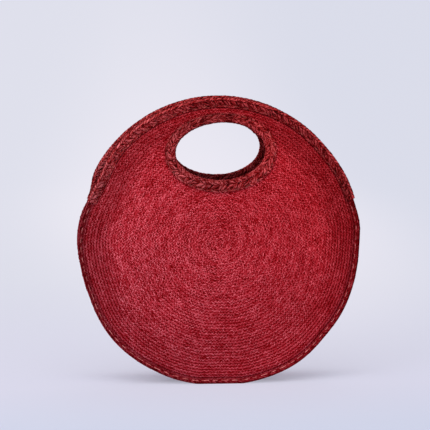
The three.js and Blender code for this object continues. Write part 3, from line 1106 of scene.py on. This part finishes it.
def row_lines(nodes, tone):
    """The tone with dark broken lines between rows, a calmer plait beside the clear ones, and slow
    changes along each row."""
    u, v, _ = nodes.split("weave")
    clear = nodes.attribute("row_clearness")
    calm = nodes.scaled(clear, -PLAIT_CALMER, 1.0)
    tone = nodes.scaled(nodes.math("SUBTRACT", tone, 0.5), calm, 0.5)
    edge = nodes.math("MINIMUM", v, nodes.math("SUBTRACT", float(PLAIT_COLUMNS), v))
    line = nodes.spread(edge, 0.0, ROW_LINE_WIDTH, 1.0, 0.0)
    depth = nodes.spread(clear, 0.0, 1.0, ROW_LINE_FAINT, ROW_LINE_STRONG)
    dash = nodes.noise_along(nodes.math("DIVIDE", u, ROW_DASH_LENGTH), 3.0)
    depth = nodes.product(depth, nodes.spread(dash, *DASH_REACH, *ROW_DASHES))
    tone = nodes.math("SUBTRACT", tone, nodes.product(line, depth))
    stretch = nodes.noise_along(nodes.math("DIVIDE", u, ROW_TONE_LENGTH), 0.0)
    return nodes.math("ADD", tone, nodes.spread(stretch, *NOISE_REACH, -ROW_TONE, ROW_TONE))


def dyed(colour, spreads):
    """Tones round a colour, from the darkest straws to the few that took little dye. spreads says
    how far they go in red, green and blue."""
    steps = ((0.0, -3.0), (0.25, -1.3), (0.5, 0.0), (0.75, 0.75), (1.0, 2.0))
    stops = []
    for place, step in steps:
        parts = [min(max(part + step * spread, 2), 250) for part, spread in zip(colour, spreads)]
        stops.append((place, linear(*parts)))
    return stops


def straw(name, stops, slant, bump, shares, fibres, thin, worn_and_painted=None, rows=False):
    """Dyed plaited straw. Its tone comes from each strand, each fibre and the strands' height, in
    these shares, and its brightness from each point's painted shade and light. worn_and_painted
    gives the tones of wear and painted highlights, and rows adds a disc's uneven strands and the
    lines between its rows."""
    nodes = Nodes(name)
    chance, fibre, gap, height = plait_pattern(nodes, slant, fibres, thin, rows)
    place = nodes.attribute("rest_place", "Vector")
    strand_share, fibre_share, height_share = shares
    tone = nodes.scaled(chance, strand_share, 0.5 - (strand_share + fibre_share) / 2)
    tone = nodes.scaled(fibre, fibre_share, tone)
    depth = nodes.product(nodes.math("SUBTRACT", height, 0.5), nodes.scaled(gap, 1.5, 0.4))
    tone = nodes.scaled(depth, height_share, tone)
    shade = nodes.spread(nodes.noise(place, *DYE_PATCHES), *NOISE_REACH, *DYE_CHANGE)
    # Each point's painted shade and light
    shade = nodes.product(shade, nodes.attribute("dye_shade"))
    if rows:
        tone = row_lines(nodes, tone)
    colour = nodes.ramp(tone, stops)
    if worn_and_painted is not None:
        wear_and_shading = nodes.split("weave")[2]
        patch = nodes.spread(nodes.noise(place, *WEAR_PATCHES), *NOISE_REACH, *WEAR_CHANGE)
        share = nodes.spread(nodes.math("ADD", wear_and_shading, patch), 0.0, 1.0, 0.0, 1.0)
        colour = nodes.mix(share, colour, nodes.ramp(tone, worn_and_painted))
        # Painted shade inside the trims and along the mouth trims' fold edges, where the wear value is
        # below 0
        shade = nodes.product(shade, nodes.spread(wear_and_shading, -1.0, 0.0, INSIDE_SHADE, 1.0))
    # Painted light and shade in the hue: pinker low on the left, deeper red to the upper right
    x, _, z = nodes.split("rest_place")
    towards = nodes.math("ADD", nodes.product(x, DEEPER_WAY[0]), nodes.product(z, DEEPER_WAY[1]))
    pink = nodes.spread(towards, 0.0, DEEPER_REACH, PINKER_LOW_LEFT, DEEPER_HIGH_RIGHT)
    colour = nodes.times(colour, nodes.join(1.0, pink, pink))
    nodes.bump(nodes.scaled(fibre, 0.25, height), bump)
    roughness = nodes.spread(chance, 0.0, 1.0, 0.85, 0.6)
    return nodes.finish(nodes.dimmed(colour, shade), roughness, 0.03)


def thread(name, low, high):
    """Twisted sewing thread."""
    nodes = Nodes(name)
    u, v, _ = nodes.split("weave")
    ply = nodes.math("PINGPONG", nodes.math("ADD", u, v), 0.5)
    tone = nodes.noise(nodes.attribute("rest_place", "Vector"), *THREAD_PATCHES)
    colour = nodes.ramp(tone, list(zip(NOISE_REACH, (low, high))))
    # The ply's grooves, times each point's painted light and shade
    shade = nodes.product(nodes.spread(ply, 0.0, 0.3, 0.75, 1.0), nodes.attribute("dye_shade"))
    nodes.bump(ply, 0.0003)
    return nodes.finish(nodes.dimmed(colour, shade), 0.7, 0.05)


DISC_MATERIAL = straw(
    "sewn plait", dyed((184, 43, 54), (26, 29, 29)), PLAIT_SLANT, bump=0.0002,
    shares=(0.34, 0.55, 0.7), fibres=(4, 2), thin=2.0, rows=True)
RIM_ROW_MATERIAL = straw(
    "rim plait", dyed((100, 2, 8), (22, 22, 22)), RIM_ROW_SLANT, bump=0.0003,
    shares=(0.5, 0.5, 0.4), fibres=(2, 2), thin=1.0)
GUSSET_MATERIAL = straw(
    "gusset plait", dyed((150, 24, 33), (25, 30, 30)), PLAIT_SLANT, bump=0.0002,
    shares=(0.4, 0.5, 0.6), fibres=(4, 2), thin=2.0)
TRIM_MATERIAL = straw(
    "broad plait", dyed((98, 5, 9), (29, 32, 32)), TRIM_SLANT, bump=0.0003,
    shares=(0.25, 0.9, 0.5), fibres=(6, 5), thin=0.5, worn_and_painted=dyed((140, 22, 24), (38, 42, 42)))
SEAM_THREAD_MATERIAL = thread("pink thread", linear(168, 58, 60), linear(240, 140, 136))
TRIM_THREAD_MATERIAL = thread("red thread", linear(110, 40, 40), linear(180, 92, 84))


# The stage, light and camera

# Places on the paper are metres to the right and metres along it towards the back.
FRONT_PAPER = linear(210, 214, 233)
FRONT_REACH = (-0.3, -0.03)
FOOT_PAPER = linear(219, 218, 235)
BACK_PAPER = linear(223, 224, 236)
BACK_FULL = 1.0
# A painted pool of light behind the bag, and painted shade towards the right
POOL_PAPER = linear(239, 236, 245)
POOL_PLACE = (0.147, 1.93)
POOL_SIZE = (0.37, 1.5)
POOL_EDGE = 2.0
RIGHT_DIMMER = (0.955, 0.965, 0.98)
RIGHT_FULL = 0.5
FADE_START = 4.0
FADE_END = 8.0
NEAR_BAG = 1.2
STAGE_GLOW = 0.72
SHADOW_PLACE = (0.0, 0.035)
SHADOW_SIZE = (0.16, 0.038)
SHADOW_DEPTH = 0.9

# The floor's and backdrop's size
STAGE_REACH = 15.0
SWEEP_START = 2.6
SWEEP_RADIUS = 1.2
SWEEP_STEPS = 24
STAGE_TOP = 5.0


def stage_paper():
    """Pale paper, seen by its own even glow, but less so near the bag, and least close under it,
    where the shadow is deep. It is paler at the back, palest in a painted pool of light behind the
    bag, and painted a little darker to the right."""
    nodes = Nodes("pale paper")
    x, along, _ = nodes.split("paper_place")
    paper = nodes.mix(nodes.spread(along, 0.0, BACK_FULL, 0.0, 1.0), FOOT_PAPER, BACK_PAPER)
    paper = nodes.mix(nodes.spread(along, *FRONT_REACH, 1.0, 0.0), paper, FRONT_PAPER)
    paper = nodes.mix(nodes.patch(x, along, POOL_PLACE, POOL_SIZE, POOL_EDGE), paper, POOL_PAPER)
    dimmer = nodes.times(paper, RIGHT_DIMMER)
    paper = nodes.mix(nodes.spread(x, 0.0, RIGHT_FULL, 0.0, 1.0), paper, dimmer)
    away = nodes.math("ADD", nodes.product(x, x), nodes.product(along, along))
    paper = nodes.mix(nodes.spread(away, FADE_START ** 2, FADE_END ** 2, 0.0, 1.0), paper, BACK_PAPER)
    near = nodes.patch(x, along, (0.0, 0.0), (NEAR_BAG, NEAR_BAG))
    under = nodes.patch(x, along, SHADOW_PLACE, SHADOW_SIZE)
    share = nodes.scaled(near, STAGE_GLOW - 1, 1.0)
    share = nodes.scaled(under, -SHADOW_DEPTH * STAGE_GLOW, share)
    glow = nodes.fed("ShaderNodeEmission", paper)
    share = nodes.product(nodes.seen(), share)
    nodes.blend(share, nodes.shader.outputs[0], glow.outputs[0], "Material Output")
    return nodes.finish(paper, 0.9, 0.1)


def stage():
    """A wide floor that sweeps up into a backdrop. Its path gives each line's y, z and distance."""
    path = [(-STAGE_REACH, 0.0, -STAGE_REACH), (SWEEP_START, 0.0, SWEEP_START)]
    for step in range(1, SWEEP_STEPS + 1):
        turn = step * math.pi / (2 * SWEEP_STEPS)
        y = SWEEP_START + SWEEP_RADIUS * math.sin(turn)
        z = SWEEP_RADIUS - SWEEP_RADIUS * math.cos(turn)
        path.append((y, z, SWEEP_START + SWEEP_RADIUS * turn))
    path.append((SWEEP_START + SWEEP_RADIUS, STAGE_TOP, path[-1][2] + STAGE_TOP - SWEEP_RADIUS))
    sides = (-STAGE_REACH, STAGE_REACH)
    points = [(x, y, z) for y, z, _ in path for x in sides]
    places = [(x, along, 0.0) for _, _, along in path for x in sides]
    faces = [(2 * k, 2 * k + 1, 2 * k + 3, 2 * k + 2) for k in range(len(path) - 1)]
    mesh = bpy.data.meshes.new("backdrop")
    mesh.from_pydata(points, [], faces)
    mesh.shade_smooth()
    layer = mesh.attributes.new("paper_place", "FLOAT_VECTOR", "POINT")
    layer.data.foreach_set("vector", np.array(places, np.float32).ravel())
    mesh.materials.append(stage_paper())
    put("backdrop", mesh)


def soft_light(name, place, size, power):
    """A square softbox turned to the bag's middle."""
    data = bpy.data.lights.new(name, "AREA")
    data.shape = "SQUARE"
    data.size = size
    data.energy = power
    lamp = put(name, data)
    lamp.location = place
    way = Vector((0, 0, CENTRE_HEIGHT)) - Vector(place)
    lamp.rotation_euler = way.to_track_quat("-Z", "Y").to_euler()


def lights():
    soft_light("main_softbox", (-0.3, -1.5, 2.6), size=2.2, power=35.3)
    soft_light("left_softbox", (-1.2, -1.5, 1.1), size=1.0, power=11)
    soft_light("back_softbox", (0.5, 1.7, 2.8), size=2.0, power=10)
    nodes = Nodes("studio", "worlds")
    air = nodes.tree.nodes["Background"]
    air.inputs["Color"].default_value = linear(242, 242, 245)
    air.inputs["Strength"].default_value = 0.6
    paper = nodes.fed("ShaderNodeBackground", BACK_PAPER)
    nodes.blend(nodes.seen(), air.outputs[0], paper.outputs[0], "World Output")
    bpy.context.scene.world = nodes.owner


def camera():
    """The photographed view: slightly from the left, and from a little above."""
    azimuth = math.radians(-4.5)
    elevation = math.radians(6.4)
    distance = 3.0
    view_width = 0.559
    target = Vector((-0.005, 0, 0.2189))
    back = Vector((
        math.sin(azimuth) * math.cos(elevation),
        -math.cos(azimuth) * math.cos(elevation),
        math.sin(elevation),
    ))
    data = bpy.data.cameras.new("camera")
    data.lens = data.sensor_width * distance / view_width
    eye = put("camera", data)
    eye.location = target + back * distance
    eye.rotation_euler = (-back).to_track_quat("-Z", "Y").to_euler()
    bpy.context.scene.camera = eye


# The whole bag

def bend_with_lip(piece):
    """Bakes the piece's place into its points."""
    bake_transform(piece)


camera()
stage()
lights()

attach(gusset(), "root")
for word, hand in (("left", -1), ("right", 1)):
    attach(gusset_end_trim(word, hand), "root")

for side in (FRONT, BACK):
    bend_with_lip(disc(side))
    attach(rim_row(side), "root")
    bend_with_lip(mouth_trim(side))
    bend_with_lip(hole_trim(side))
    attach(seam_stitches(side), "root")
    bend_with_lip(mouth_trim_stitches(side))
    bend_with_lip(hole_trim_stitches(side))

bpy.context.scene.view_settings.view_transform = "Standard"
